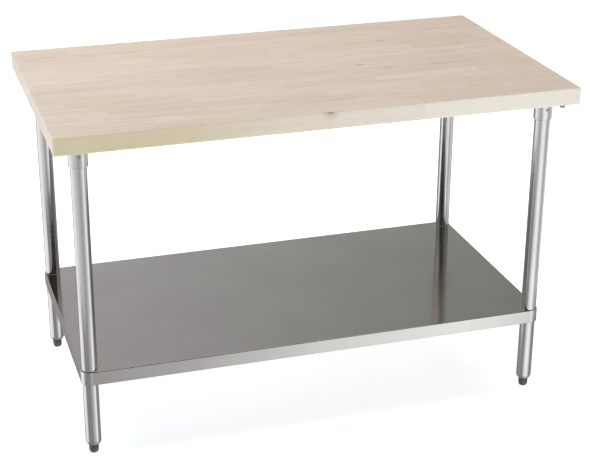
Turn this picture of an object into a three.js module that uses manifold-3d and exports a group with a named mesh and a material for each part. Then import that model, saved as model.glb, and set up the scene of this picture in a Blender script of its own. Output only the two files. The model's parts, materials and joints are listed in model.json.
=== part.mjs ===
// A work table with a laminated maple top, four round stainless legs on adjustable feet, and a
// folded sheet steel undershelf that clamps to the legs.
// Millimetres, +Z up. The front is -Y, and the origin is on the floor below the table's centre.

import * as THREE from 'three';
import { mergeVertices } from 'three/addons/utils/BufferGeometryUtils.js';
import Module from 'manifold-3d';

const wasm = await Module();
wasm.setup();

// ---------------------------------------------------------------- driving dimensions
const tableLength = 1372;
const tableDepth = 762;
const tableHeight = 902;

const fitGap = 0.3; // between two pieces that touch
const slideGap = 0.4; // radial, between a leg and a sleeve that slides on it
const cutOver = 1; // how far a cutting solid runs past the face that it cuts

const topThickness = 44.5;
const staveCount = 18;

const legDiameter = 41.3;
const legWall = 1.5;
const legInsetX = 68; // leg axis from the end of the top
const legInsetY = 72; // leg axis from the front or back of the top

const sleeveWall = 3.1; // of the leg sockets and the shelf collars
const socketHeight = 42;
const weldLeg = 3; // fillet weld round the top of a socket
const rimChamfer = 1.2; // on the rims of sockets and collars

const railWidth = 104;
const railDepth = 12.7;
const railWall = 2;
const railSetback = 37; // end of a rail from the front or back of the top

const boltDiameter = 8;
const boltReach = 28; // how far a lag bolt goes up into the top
const boltTip = 1; // radius of its blunt point
const boltMargin = 9.5; // bolt centre from the rail's side, and from its end
const boltInside = 75; // inner bolt from the leg axis, towards the middle
const boltHeadFlats = 12.7;
const boltHeadHeight = 5.5;
const boltWasherDiameter = 17;
const boltWasherThickness = 2;

const screwDiameter = 8; // set screws
const screwStandOut = 1.5; // how far a set screw stands out of its sleeve
const screwChamfer = 0.8;
const screwKeyFlats = 4;
const screwKeyDepth = 2.5;
const socketScrewDrop = 12; // set screw below the rail

const shelfHeight = 246; // upper face of the shelf
const shelfSheet = 1.5;
const shelfSkirt = 38;
const shelfHem = 12; // width of the edge turned in under the skirt
const shelfEdge = 24; // outside of the skirt from the leg axis
const collarScrewDrop = 20; // set screw below the shelf's upper face

const stiffenerWidth = 60;
const stiffenerDepth = 25;
const stiffenerFlange = 15;
const stiffenerInset = 45; // end of the stiffener from the leg axis

const footDiameter = 26;
const footHeight = 22.5;
const footPad = 14; // diameter of the flat that stands on the floor
const footNose = 10.1; // height of the rounded nose
const footRim = 1.5; // bevel round the foot's upper edge
const footThreadLength = 54;
const footSocketDepth = 12; // how deep the threaded stem sits in the foot
const stemDiameter = 9.5;
const stemBevel = 1; // at the stem's upper end
const footRise = 2; // space left to screw the foot further in
const shoulderHeight = 12.5;
const shoulderDiameter = 29; // lower end of the tapered shoulder
const shoulderRim = 1; // bevel at its lower end, and the straight band at its upper end
const plugLength = 28; // part of the insert that is pressed into the leg

// ---------------------------------------------------------------- worked out from them
const legRadius = legDiameter / 2;
const legX = tableLength / 2 - legInsetX;
const legY = tableDepth / 2 - legInsetY;
const sleeveBore = legRadius + slideGap;
const sleeveRadius = sleeveBore + sleeveWall;

const topUnderside = tableHeight - topThickness;
const railTop = topUnderside - fitGap;
const railUnderside = railTop - railDepth;
const railLength = tableDepth - 2 * railSetback;
const legTop = railUnderside - fitGap;
const shoulderBottom = footHeight + footRise;
const legBottom = shoulderBottom + shoulderHeight + fitGap;

const roundSides = 24;
const screwSides = 16;

const corners = [
  { name: 'front_left', sideX: -1, sideY: -1 },
  { name: 'front_right', sideX: 1, sideY: -1 },
  { name: 'back_left', sideX: -1, sideY: 1 },
  { name: 'back_right', sideX: 1, sideY: 1 },
];

// ---------------------------------------------------------------- materials
const maple = new THREE.MeshStandardMaterial({ color: 0xd6c3a6, roughness: 0.5, metalness: 0 });
const tubeSteel = new THREE.MeshStandardMaterial({ color: 0xd2d0cf, roughness: 0.18, metalness: 1 });
const sheetSteel = new THREE.MeshStandardMaterial({ color: 0xa5a09e, roughness: 0.3, metalness: 1 });
const zincSteel = new THREE.MeshStandardMaterial({ color: 0x55585a, roughness: 0.4, metalness: 1 });
const castAluminium = new THREE.MeshStandardMaterial({ color: 0xb9bbba, roughness: 0.4, metalness: 1 });
const footNylon = new THREE.MeshStandardMaterial({ color: 0x66716b, roughness: 0.55, metalness: 0 });

// ---------------------------------------------------------------- geometry helpers
// A closed three.js geometry as a solid: shared corners merged, flat triangles dropped,
// and the faces turned outwards.
function solid(geometry) {
  const bare = geometry.clone();
  bare.deleteAttribute('normal');
  bare.deleteAttribute('uv');
  const merged = mergeVertices(bare);
  const position = merged.attributes.position;
  const index = merged.index.array;
  const corner = [new THREE.Vector3(), new THREE.Vector3(), new THREE.Vector3()];
  const triangles = [];
  let volume = 0;
  for (let i = 0; i < index.length; i += 3) {
    const [a, b, c] = [index[i], index[i + 1], index[i + 2]];
    if (a === b || b === c || c === a) continue;
    corner[0].fromBufferAttribute(position, a);
    corner[1].fromBufferAttribute(position, b);
    corner[2].fromBufferAttribute(position, c);
    volume += corner[0].dot(corner[1].cross(corner[2]));
    triangles.push(a, b, c);
  }
  if (volume < 0) triangles.reverse();
  return new wasm.Manifold(new wasm.Mesh({
    numProp: 3,
    vertProperties: new Float32Array(position.array),
    triVerts: new Uint32Array(triangles),
  }));
}

function toGeometry(manifold) {
  const mesh = manifold.getMesh();
  const geometry = new THREE.BufferGeometry();
  geometry.setAttribute('position', new THREE.BufferAttribute(new Float32Array(mesh.vertProperties), 3));
  geometry.setIndex(new THREE.BufferAttribute(new Uint32Array(mesh.triVerts), 1));
  const faceted = geometry.toNonIndexed();
  faceted.computeVertexNormals();
  return faceted;
}

function box(width, depth, height, x, y, z) {
  return solid(new THREE.BoxGeometry(width, depth, height).translate(x, y, z));
}

// A solid of revolution about Z. The profile is a list of [radius, z].
function turned(profile, sides = roundSides) {
  const points = profile.map(([radius, z]) => new THREE.Vector2(radius, z));
  return solid(new THREE.LatheGeometry(points, sides).rotateX(Math.PI / 2));
}

function ring(inner, outer, bottom, top, chamfer = 0) {
  return turned([
    [inner, bottom],
    [outer - chamfer, bottom],
    [outer, bottom + chamfer],
    [outer, top - chamfer],
    [outer - chamfer, top],
    [inner, top],
    [inner, bottom],
  ]);
}

function rod(radius, bottom, top, sides = screwSides) {
  return turned([[0, bottom], [radius, bottom], [radius, top], [0, top]], sides);
}

// A six-sided prism about Z, measured across its flats.
function hexagon(flats, bottom, top) {
  return rod(flats / 2 / Math.cos(Math.PI / 6), bottom, top, 6);
}

// Turns a solid that stands along Z so that it points to the front, along -Y.
const facingFront = (manifold) => manifold.rotate([90, 0, 0]);

// An outline of [across, up] points pushed along X or Y and centred on the origin.
function channel(outline, length, alongX) {
  const shape = new THREE.Shape(outline.map(([across, up]) => new THREE.Vector2(across, up)));
  const geometry = new THREE.ExtrudeGeometry(shape, { depth: length, bevelEnabled: false });
  geometry.translate(0, 0, -length / 2).rotateX(Math.PI / 2);
  if (alongX) geometry.rotateZ(Math.PI / 2);
  return solid(geometry);
}

const table = new THREE.Group();

function place(parent, name, manifold, material, x = 0, y = 0, z = 0, turn = 0) {
  const mesh = new THREE.Mesh(toGeometry(manifold), material);
  mesh.name = name;
  mesh.position.set(x, y, z);
  mesh.rotation.z = turn;
  parent.add(mesh);
}

// ---------------------------------------------------------------- where the lag bolts go
// In the right rail's own frame, with x outwards: one in the outer corner at one end, one by
// the inner side in the middle, and one by the outer side just inside the other leg.
// The left rail is the same piece turned end for end.
const railBolts = [
  { across: railWidth / 2 - boltMargin, along: -railLength / 2 + boltMargin },
  { across: boltMargin - railWidth / 2, along: 0 },
  { across: railWidth / 2 - boltMargin, along: legY - boltInside },
];
const rails = [
  { name: 'right', x: legX, turn: 0, places: ['front', 'middle', 'back'] },
  { name: 'left', x: -legX, turn: Math.PI, places: ['back', 'middle', 'front'] },
];

function boltsOf(rail) {
  const direction = Math.cos(rail.turn);
  return railBolts.map(({ across, along }, i) => ({
    name: `lag_bolt_${rail.name}_${rail.places[i]}`,
    x: rail.x + direction * across,
    y: direction * along,
  }));
}

const bolts = rails.flatMap(boltsOf);

// ---------------------------------------------------------------- top: maple staves
function buildTop() {
  const pitch = tableDepth / staveCount;
  const pilotRadius = boltDiameter / 2 + fitGap;
  for (let i = 0; i < staveCount; i += 1) {
    const y = -tableDepth / 2 + pitch * (i + 0.5);
    // The outer two staves reach the full depth; a glue gap is left at each joint.
    const front = i === 0 ? y - pitch / 2 : y - pitch / 2 + fitGap / 2;
    const back = i === staveCount - 1 ? y + pitch / 2 : y + pitch / 2 - fitGap / 2;
    let stave = box(tableLength, back - front, topThickness, 0, (front + back) / 2 - y, topThickness / 2);
    for (const bolt of bolts) {
      if (Math.abs(bolt.y - y) > pitch / 2 + pilotRadius) continue;
      const pilot = rod(pilotRadius, -cutOver, boltReach + fitGap).translate([bolt.x, bolt.y - y, 0]);
      stave = stave.subtract(pilot);
    }
    const number = String(i + 1).padStart(2, '0');
    place(table, `top_stave_${number}`, stave, maple, 0, y, topUnderside);
  }
}

// ---------------------------------------------------------------- cross rails and bolts
function buildRail(rail) {
  const half = railWidth / 2;
  const outline = [
    [-half, -railDepth],
    [half, -railDepth],
    [half, 0],
    [half - railWall, 0],
    [half - railWall, railWall - railDepth],
    [railWall - half, railWall - railDepth],
    [railWall - half, 0],
    [-half, 0],
  ];
  let body = channel(outline, railLength, false);
  for (const { across, along } of railBolts) {
    const hole = rod(boltDiameter / 2 + fitGap, -railDepth - cutOver, 0).translate([across, along, 0]);
    body = body.subtract(hole);
  }
  place(table, `cross_rail_${rail.name}`, body, sheetSteel, rail.x, 0, railTop, rail.turn);
}

function buildBolt(bolt) {
  const washerTop = -fitGap;
  const washerBottom = washerTop - boltWasherThickness;
  const shankTop = fitGap + railDepth + boltReach;
  const point = boltDiameter / 2;
  const shank = turned([
    [0, washerBottom],
    [boltDiameter / 2, washerBottom],
    [boltDiameter / 2, shankTop - point],
    [boltTip, shankTop],
    [0, shankTop],
  ], screwSides);
  const washer = rod(boltWasherDiameter / 2, washerBottom, washerTop, roundSides);
  const head = hexagon(boltHeadFlats, washerBottom - boltHeadHeight, washerBottom + boltWasherThickness / 2);
  place(table, bolt.name, shank.add(washer).add(head), zincSteel, bolt.x, bolt.y, railUnderside);
}

// ---------------------------------------------------------------- set screws
// Stands along Z from the leg's surface outwards, with a key recess in its outer end.
function setScrew() {
  const tip = legRadius + slideGap / 2;
  const end = sleeveRadius + screwStandOut;
  const body = turned([
    [0, tip],
    [screwDiameter / 2 - screwChamfer, tip],
    [screwDiameter / 2, tip + screwChamfer],
    [screwDiameter / 2, end - screwChamfer],
    [screwDiameter / 2 - screwChamfer, end],
    [0, end],
  ], screwSides);
  return facingFront(body.subtract(hexagon(screwKeyFlats, end - screwKeyDepth, end + cutOver)));
}

// Drills a sleeve for its set screw, facing the front.
function drilled(sleeve, z) {
  const hole = facingFront(rod(screwDiameter / 2 + fitGap, legRadius / 2, sleeveRadius + cutOver));
  return sleeve.subtract(hole.translate([0, 0, z]));
}

// ---------------------------------------------------------------- leg sockets
function buildSocket({ name, sideX, sideY }) {
  const sleeve = turned([
    [sleeveBore, -socketHeight],
    [sleeveRadius - rimChamfer, -socketHeight],
    [sleeveRadius, rimChamfer - socketHeight],
    [sleeveRadius, -weldLeg],
    [sleeveRadius + weldLeg, 0],
    [sleeveBore, 0],
    [sleeveBore, -socketHeight],
  ]);
  const turn = sideY < 0 ? 0 : Math.PI;
  const [x, y] = [sideX * legX, sideY * legY];
  place(table, `leg_socket_${name}`, drilled(sleeve, -socketScrewDrop), tubeSteel, x, y, legTop, turn);
  place(table, `socket_screw_${name}`, setScrew(), zincSteel, x, y, legTop - socketScrewDrop, turn);
}

// ---------------------------------------------------------------- legs, inserts and feet
function buildLeg({ name, sideX, sideY }) {
  const tube = ring(legRadius - legWall, legRadius, 0, legTop - fitGap - legBottom);
  place(table, `leg_${name}`, tube, tubeSteel, sideX * legX, sideY * legY, legBottom);
}

// A cast insert: a plug pressed into the leg, and a tapered shoulder below it.
function buildInsert({ name, sideX, sideY }) {
  const bore = stemDiameter / 2 + fitGap;
  const plugRadius = legRadius - legWall - fitGap;
  const bottomRadius = shoulderDiameter / 2;
  const bulge = 0.72; // the taper is fuller than a straight cone
  const profile = [
    [bore, 0],
    [bottomRadius - shoulderRim, 0],
    [bottomRadius, shoulderRim],
    [bottomRadius + (legRadius - bottomRadius) * bulge, shoulderHeight / 2],
    [legRadius, shoulderHeight - shoulderRim],
    [legRadius, shoulderHeight],
    [plugRadius, shoulderHeight],
    [plugRadius, shoulderHeight + plugLength],
    [bore, shoulderHeight + plugLength],
    [bore, 0],
  ];
  place(table, `foot_insert_${name}`, turned(profile), castAluminium,
    sideX * legX, sideY * legY, shoulderBottom);
}

// The foot is a round-nosed cup moulded on a threaded stem, and the stem screws into the insert.
function buildFoot({ name, sideX, sideY }) {
  const [x, y] = [sideX * legX, sideY * legY];
  const radius = footDiameter / 2;
  const padRadius = footPad / 2;
  const noseSteps = 4;
  const stemRadius = stemDiameter / 2;
  const pocketBottom = footHeight - footSocketDepth;
  const profile = [[0, 0]];
  for (let i = 0; i <= noseSteps; i += 1) {
    const angle = (i / noseSteps) * (Math.PI / 2);
    profile.push([padRadius + (radius - padRadius) * Math.sin(angle), footNose * (1 - Math.cos(angle))]);
  }
  profile.push(
    [radius, footHeight - footRim],
    [radius - footRim, footHeight],
    [stemRadius + fitGap, footHeight],
    [stemRadius + fitGap, pocketBottom],
    [0, pocketBottom],
  );
  place(table, `foot_${name}`, turned(profile), footNylon, x, y);

  const stemBottom = pocketBottom + fitGap;
  const stemTop = stemBottom + footThreadLength;
  const stem = turned([
    [0, stemBottom],
    [stemRadius, stemBottom],
    [stemRadius, stemTop - stemBevel],
    [stemRadius - stemBevel, stemTop],
    [0, stemTop],
  ], screwSides);
  place(table, `foot_stem_${name}`, stem, zincSteel, x, y);
}

// ---------------------------------------------------------------- undershelf
// One sheet with its four edges folded down and hemmed, notched round a collar at each corner.
function buildShelf(shelf) {
  const length = 2 * (legX + shelfEdge);
  const depth = 2 * (legY + shelfEdge);
  const inside = 2 * shelfSheet;
  const cavity = shelfSkirt - 2 * shelfSheet;
  let sheet = box(length, depth, shelfSkirt, 0, 0, -shelfSkirt / 2);
  sheet = sheet.subtract(box(length - inside, depth - inside, cavity, 0, 0, -shelfSkirt / 2));
  const mouthTrim = inside + 2 * shelfHem;
  const mouthDepth = 2 * shelfSheet + cutOver;
  sheet = sheet.subtract(box(length - mouthTrim, depth - mouthTrim, mouthDepth, 0, 0, -shelfSkirt));
  const notch = rod(sleeveRadius + fitGap, -shelfSkirt - cutOver, cutOver, roundSides);
  const cut = 2 * sleeveRadius;
  for (const { sideX, sideY } of corners) {
    sheet = sheet.subtract(notch.translate([sideX * legX, sideY * legY, 0]));
    const x = sideX * (legX + cut / 2);
    const y = sideY * (legY + cut / 2);
    sheet = sheet.subtract(box(cut, cut, 2 * (shelfSkirt + cutOver), x, y, 0));
  }
  place(shelf, 'undershelf', sheet, sheetSteel);
}

// A hat-shaped channel spot-welded under the sheet, along its length.
function buildStiffener(shelf) {
  const half = stiffenerWidth / 2;
  const brim = half + stiffenerFlange;
  const top = -shelfSheet - fitGap;
  const bottom = top - stiffenerDepth;
  const outline = [
    [-brim, top],
    [-brim, top - shelfSheet],
    [-half, top - shelfSheet],
    [-half, bottom],
    [half, bottom],
    [half, top - shelfSheet],
    [brim, top - shelfSheet],
    [brim, top],
    [half - shelfSheet, top],
    [half - shelfSheet, bottom + shelfSheet],
    [shelfSheet - half, bottom + shelfSheet],
    [shelfSheet - half, top],
  ];
  place(shelf, 'shelf_stiffener', channel(outline, 2 * (legX - stiffenerInset), true), sheetSteel);
}

// A collar slides on each leg and is welded into the sheet's corner. Its set screw faces the
// middle of the table, under the sheet.
function buildCollar(shelf, { name, sideX, sideY }) {
  const turn = Math.atan2(-sideX, sideY);
  const [x, y] = [sideX * legX, sideY * legY];
  const collar = ring(sleeveBore, sleeveRadius, -shelfSkirt, 0, rimChamfer);
  place(shelf, `shelf_collar_${name}`, drilled(collar, -collarScrewDrop), tubeSteel, x, y, 0, turn);
  place(shelf, `collar_screw_${name}`, setScrew(), zincSteel, x, y, -collarScrewDrop, turn);
}

// ---------------------------------------------------------------- assembly
buildTop();
for (const rail of rails) buildRail(rail);
for (const bolt of bolts) buildBolt(bolt);
for (const corner of corners) {
  buildSocket(corner);
  buildLeg(corner);
  buildInsert(corner);
  buildFoot(corner);
}

const shelf = new THREE.Group();
shelf.position.z = shelfHeight;
table.add(shelf);
buildShelf(shelf);
buildStiffener(shelf);
for (const corner of corners) buildCollar(shelf, corner);

export default table;
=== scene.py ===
# %% [markdown]
# # A butcher block work table
# The table is a thick maple top on four polished steel legs, with a folded steel undershelf.
# A fixed frame already holds every part at its true size and place. This lesson builds the fine
# surface of each part round that frame, and gives it a finish that holds up close to.
# First we load the frame.

# %% Load the frame
import json
import math
import bmesh
import bpy
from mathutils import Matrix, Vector


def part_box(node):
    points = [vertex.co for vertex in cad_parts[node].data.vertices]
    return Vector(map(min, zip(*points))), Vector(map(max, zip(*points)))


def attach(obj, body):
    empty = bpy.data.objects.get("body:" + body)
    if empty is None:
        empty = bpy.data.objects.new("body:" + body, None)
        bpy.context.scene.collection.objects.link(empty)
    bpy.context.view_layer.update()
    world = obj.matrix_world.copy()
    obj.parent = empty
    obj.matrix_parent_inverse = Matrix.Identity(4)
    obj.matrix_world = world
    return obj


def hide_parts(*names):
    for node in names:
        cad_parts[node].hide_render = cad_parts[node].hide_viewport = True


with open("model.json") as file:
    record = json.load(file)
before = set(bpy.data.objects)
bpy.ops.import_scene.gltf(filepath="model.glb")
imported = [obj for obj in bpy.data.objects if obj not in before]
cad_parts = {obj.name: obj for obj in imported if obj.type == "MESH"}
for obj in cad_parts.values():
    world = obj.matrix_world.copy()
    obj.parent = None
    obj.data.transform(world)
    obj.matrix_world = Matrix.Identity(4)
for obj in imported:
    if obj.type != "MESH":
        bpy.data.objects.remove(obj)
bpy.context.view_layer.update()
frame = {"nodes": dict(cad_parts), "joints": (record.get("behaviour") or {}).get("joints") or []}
MM = 0.001
FULL_TURN = 2 * math.pi

# %% [markdown]
# ## The camera
# The table is seen from the front left and a little above. A long lens keeps the legs close to
# upright, and a small shift centres the table without tilting it. The colour transform is the
# plain one, because the background of a catalogue view should be truly white.

# %% Camera
camera_data = bpy.data.cameras.new("camera")
camera = bpy.data.objects.new("camera", camera_data)
bpy.context.scene.collection.objects.link(camera)
look_right = 0.2932
look_down = 0.3954
camera.location = (-1.105, -3.577, 2.041)
camera.rotation_euler = (math.pi / 2 - look_down, 0, -look_right)
camera_data.sensor_width = 36
camera_data.lens = 86.7
camera_data.shift_x = 0.04
camera_data.shift_y = -0.03
bpy.context.scene.camera = camera
bpy.context.scene.view_settings.view_transform = "Standard"
print("lens", camera_data.lens, "mm")

# %% [markdown]
# ## Small tools for shader nodes
# Every finish below is a tree of nodes. These helpers add a node, set its values and wire it up
# in one line each, so that a recipe reads from top to bottom. Wiring by hand in the node editor
# gives the same tree, but code can be read and used again on the next finish.

# %% Add and wire nodes
def add_node(tree, kind, **settings):
    node = tree.nodes.new(kind)
    for name, value in settings.items():
        setattr(node, name, value)
    return node


def feed(tree, socket, value):
    """Links a socket to another, or sets a plain number or colour on it."""
    if isinstance(value, bpy.types.NodeSocket):
        tree.links.new(value, socket)
    else:
        socket.default_value = value


def math_node(tree, operation, first, second=0.0, third=0.0, clamp=False):
    node = add_node(tree, "ShaderNodeMath", operation=operation, use_clamp=clamp)
    feed(tree, node.inputs[0], first)
    feed(tree, node.inputs[1], second)
    feed(tree, node.inputs[2], third)
    return node.outputs[0]


def vector_node(tree, operation, first, second):
    node = add_node(tree, "ShaderNodeVectorMath", operation=operation)
    feed(tree, node.inputs[0], first)
    feed(tree, node.inputs[1], second)
    return node.outputs["Value"] if operation == "LENGTH" else node.outputs[0]


print("made helpers: add_node, feed, math_node, vector_node")

# %% [markdown]
# Real surfaces are uneven, and noise is where that comes from. A remap picks out the part of a
# noise that should count and stretches it. A mask then lays one colour over another, up to a
# chosen strength: a small strength is what keeps wear and stains believable.

# %% Noise, ranges and colours
def noise_node(tree, vector, scale, detail=3.0, roughness=0.5):
    node = add_node(tree, "ShaderNodeTexNoise")
    feed(tree, node.inputs["Vector"], vector)
    feed(tree, node.inputs["Scale"], scale)
    node.inputs["Detail"].default_value = detail
    node.inputs["Roughness"].default_value = roughness
    return node.outputs["Fac"]


def remap(tree, value, low, high, new_low=0.0, new_high=1.0, smooth=True):
    """Stretches the part of a value between low and high over a new range."""
    node = add_node(tree, "ShaderNodeMapRange")
    node.interpolation_type = "SMOOTHSTEP" if smooth else "LINEAR"
    feed(tree, node.inputs["Value"], value)
    feed(tree, node.inputs["From Min"], low)
    feed(tree, node.inputs["From Max"], high)
    feed(tree, node.inputs["To Min"], new_low)
    feed(tree, node.inputs["To Max"], new_high)
    return node.outputs["Result"]


def blend_colour(tree, share, first, second):
    node = add_node(tree, "ShaderNodeMix", data_type="RGBA")
    feed(tree, node.inputs[0], share)
    feed(tree, node.inputs[6], first)
    feed(tree, node.inputs[7], second)
    return node.outputs[2]


def laid_over(tree, base, mask, strength, colour):
    """A colour laid over a base wherever the mask is, up to the given strength."""
    return blend_colour(tree, math_node(tree, "MULTIPLY", mask, strength), base, colour)


print("made helpers: noise_node, remap, blend_colour, laid_over")

# %% [markdown]
# An effect that several finishes share is best kept as a node group, so that it is worked out
# once and placed in each material with its own values. These helpers make a group and a
# material, and give both the places that a recipe starts from.

# %% Groups and materials
def new_group(name, inputs, outputs):
    """A node group with named sockets: inputs are (name, kind, value), outputs are (name, kind)."""
    group = bpy.data.node_groups.new(name, "ShaderNodeTree")
    for title, kind, value in inputs:
        socket = group.interface.new_socket(title, in_out="INPUT", socket_type="NodeSocket" + kind)
        if value is not None:
            socket.default_value = value
    for title, kind in outputs:
        group.interface.new_socket(title, in_out="OUTPUT", socket_type="NodeSocket" + kind)
    entry = group.nodes.new("NodeGroupInput")
    leave = group.nodes.new("NodeGroupOutput")
    return group, entry.outputs, leave.inputs


def use_group(tree, group, **values):
    node = add_node(tree, "ShaderNodeGroup", node_tree=group)
    for title, value in values.items():
        feed(tree, node.inputs[title.replace("_", " ")], value)
    return node.outputs


def new_material(name):
    material = bpy.data.materials.new(name)
    material.use_nodes = True
    shader = material.node_tree.nodes["Principled BSDF"]
    return material, material.node_tree, shader


def bump(tree, shader, height, strength, distance):
    node = add_node(tree, "ShaderNodeBump")
    node.inputs["Strength"].default_value = strength
    node.inputs["Distance"].default_value = distance
    feed(tree, node.inputs["Height"], height)
    feed(tree, shader.inputs["Normal"], node.outputs["Normal"])


def object_place(tree):
    return add_node(tree, "ShaderNodeTexCoord").outputs["Object"]


def mesh_mark(tree, name, output="Fac"):
    """A number or vector that the mesh carries at its points."""
    return add_node(tree, "ShaderNodeAttribute", attribute_name=name).outputs[output]


print("made helpers: new_group, use_group, new_material, bump, object_place, mesh_mark")

# %% [markdown]
# ## The room: what the steel sees
# Polished steel has hardly any look of its own, it shows the room. The camera looks down on the
# table, so upright tubes show what lies low round it, and the flat shelf shows what stands behind.
# We light the room by direction: grey low down, a wall that is lightest straight behind, and dark
# in front and above. Wood takes little from it, and is lit by the lamps.

# %% World
room = bpy.data.worlds.new("studio")
bpy.context.scene.world = room
room.use_nodes = True
tree = room.node_tree
tree.nodes.clear()
way = add_node(tree, "ShaderNodeSeparateXYZ")
feed(tree, way.inputs[0], add_node(tree, "ShaderNodeTexCoord").outputs["Generated"])
in_front = remap(tree, way.outputs["Y"], 0.10, -0.40)
above = remap(tree, way.outputs["Z"], 0.02, 0.25)
front_ceiling = math_node(tree, "MULTIPLY", in_front, above)
low_grey = (0.35, 0.34, 0.345, 1)
bright_wall = (0.62, 0.61, 0.605, 1)
dull_wall = (0.29, 0.295, 0.275, 1)
dark_front = (0.030, 0.029, 0.024, 1)
from_left = remap(tree, way.outputs["X"], -0.75, -0.08)
from_right = remap(tree, way.outputs["X"], 0.52, 0.0)
behind = math_node(tree, "MULTIPLY", from_left, from_right)
wall_colour = blend_colour(tree, behind, dull_wall, bright_wall)
wall_glow = remap(tree, way.outputs["Z"], 0.32, 0.44, 1.32, 0.97)
walls = add_node(tree, "ShaderNodeVectorMath", operation="SCALE")
feed(tree, walls.inputs[0], wall_colour)
feed(tree, walls.inputs["Scale"], wall_glow)
side_grey = blend_colour(tree, above, low_grey, walls.outputs[0])
seen_by_steel = blend_colour(tree, front_ceiling, side_grey, dark_front)
mirror_light = add_node(tree, "ShaderNodeBackground")
feed(tree, mirror_light.inputs["Color"], seen_by_steel)
white_paper = add_node(tree, "ShaderNodeBackground")
white_paper.inputs["Color"].default_value = (1, 1, 1, 1)
ray = add_node(tree, "ShaderNodeLightPath")
choose = add_node(tree, "ShaderNodeMixShader")
feed(tree, choose.inputs[0], ray.outputs["Is Camera Ray"])
feed(tree, choose.inputs[1], mirror_light.outputs[0])
feed(tree, choose.inputs[2], white_paper.outputs[0])
feed(tree, add_node(tree, "ShaderNodeOutputWorld").inputs["Surface"], choose.outputs[0])
print("room nodes:", len(tree.nodes))

# %% [markdown]
# ## Floor and cards
# A maker of catalogue views works with a floor and with cards, and neither belongs to the table.
# Both are flat sheets. A card is built from upright posts,
# and each post carries its own shade, so that one card can go softly from dark to bright.

# %% Floor and card helpers
def add_stage_piece(name, points, faces):
    mesh = bpy.data.meshes.new(name)
    mesh.from_pydata(points, [], faces)
    sheet = bpy.data.objects.new(name, mesh)
    bpy.context.scene.collection.objects.link(sheet)
    material, tree, shader = new_material(name)
    mesh.materials.append(material)
    return sheet, tree, shader


def add_card(name, posts, low, high):
    """An upright card that runs from post to post. A post is (x, y, shade)."""
    points = [(x, y, z) for x, y, shade in posts for z in (low, high)]
    faces = [(2 * i, 2 * i + 2, 2 * i + 3, 2 * i + 1) for i in range(len(posts) - 1)]
    card, tree, shader = add_stage_piece(name, points, faces)
    shades = card.data.attributes.new("shade", "FLOAT", "POINT")
    for i, (x, y, shade) in enumerate(posts):
        shades.data[2 * i].value = shade
        shades.data[2 * i + 1].value = shade
    glow = add_node(tree, "ShaderNodeEmission")
    feed(tree, glow.inputs["Strength"], mesh_mark(tree, "shade"))
    feed(tree, tree.nodes["Material Output"].inputs["Surface"], glow.outputs[0])
    card.visible_camera = False
    card.visible_diffuse = False
    card.visible_shadow = False
    return card


print("made helpers: add_stage_piece, add_card")

# %% [markdown]
# The floor is a plain pale sheet that shades off to white. Mirror rays pass through it, so that the
# legs show the room by direction and their stripes run straight from top to bottom. It is painted
# on its upper side only, so that the table can also be looked at from below. It lies where the
# feet end when they are screwed right out, or it would hide them in that pose.

# %% Floor
floor_reach = 14.0
downward = [joint["range_m"][1] for joint in frame["joints"] if joint["axis"][2] < 0]
floor_level = -max(downward) - 0.2 * MM
floor_corners = [(-floor_reach, -floor_reach, floor_level), (floor_reach, -floor_reach, floor_level),
                 (floor_reach, floor_reach, floor_level), (-floor_reach, floor_reach, floor_level)]
print("floor at", round(floor_level / MM, 1), "mm, where the feet end when they are screwed right out")
floor, tree, shader = add_stage_piece("floor", floor_corners, [(0, 1, 2, 3)])
shader.inputs["Base Color"].default_value = (0.86, 0.86, 0.86, 1)
shader.inputs["Roughness"].default_value = 0.9
shader.inputs["Specular IOR Level"].default_value = 0.0
shader.inputs["Emission Color"].default_value = (0.86, 0.86, 0.86, 1)
shader.inputs["Emission Strength"].default_value = 0.84
one_sided = add_node(tree, "ShaderNodeMixShader")
feed(tree, one_sided.inputs[0], add_node(tree, "ShaderNodeNewGeometry").outputs["Backfacing"])
feed(tree, one_sided.inputs[1], shader.outputs[0])
feed(tree, one_sided.inputs[2], add_node(tree, "ShaderNodeBsdfTransparent").outputs[0])
feed(tree, tree.nodes["Material Output"].inputs["Surface"], one_sided.outputs[0])
floor.visible_glossy = False

# %% [markdown]
# The soft stripe on each leg is a long curved card in front of the table, brightest right of its
# middle. The other cards stand at the sides, where the legs' outer bands look. Only mirror rays
# meet the cards: they shape the steel and light nothing else.

# %% Cards
front_posts = [(-0.75, -1.55, 0.48), (-0.13, -1.41, 0.72), (0.36, -1.30, 1.20),
               (0.82, -1.19, 1.45), (1.38, -1.06, 0.78), (1.56, -1.02, 0.52)]
front_left_posts = [(-2.0, -0.6, 1.05), (-1.36, -1.09, 0.78), (-0.75, -1.55, 0.55)]
left_posts = [(-2.1, 2.0, 1.45), (-2.1, 0.6, 1.35), (-2.1, -0.6, 1.05)]
right_low_posts = [(1.56, -1.02, 0.55), (2.0, -0.3, 0.85), (2.1, 0.8, 0.95)]
right_high_posts = [(1.75, -1.3, 0.35), (1.75, -0.25, 0.45)]
card_top = 0.75
cards = [
    add_card("front_card", front_posts, -2.2, card_top),
    add_card("front_left_card", front_left_posts, -0.15, card_top),
    add_card("left_card", left_posts, -1.2, card_top),
    add_card("right_low_card", right_low_posts, -0.35, card_top),
    add_card("right_high_card", right_high_posts, card_top + 0.01, 1.5),
]
print("cards:", len(cards))

# %% [markdown]
# ## Lamps
# Two soft lamps overhead light the top: a cooler one at the left and a weaker, warmer one at the
# right. A cool lamp at the front right stands lower than the top, so that it makes the front edge
# of the wood palest at its right end and leaves the upper face alone. A faint lamp at the front
# left, one at the left end and one behind lift the sides that these three don't reach.

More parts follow.
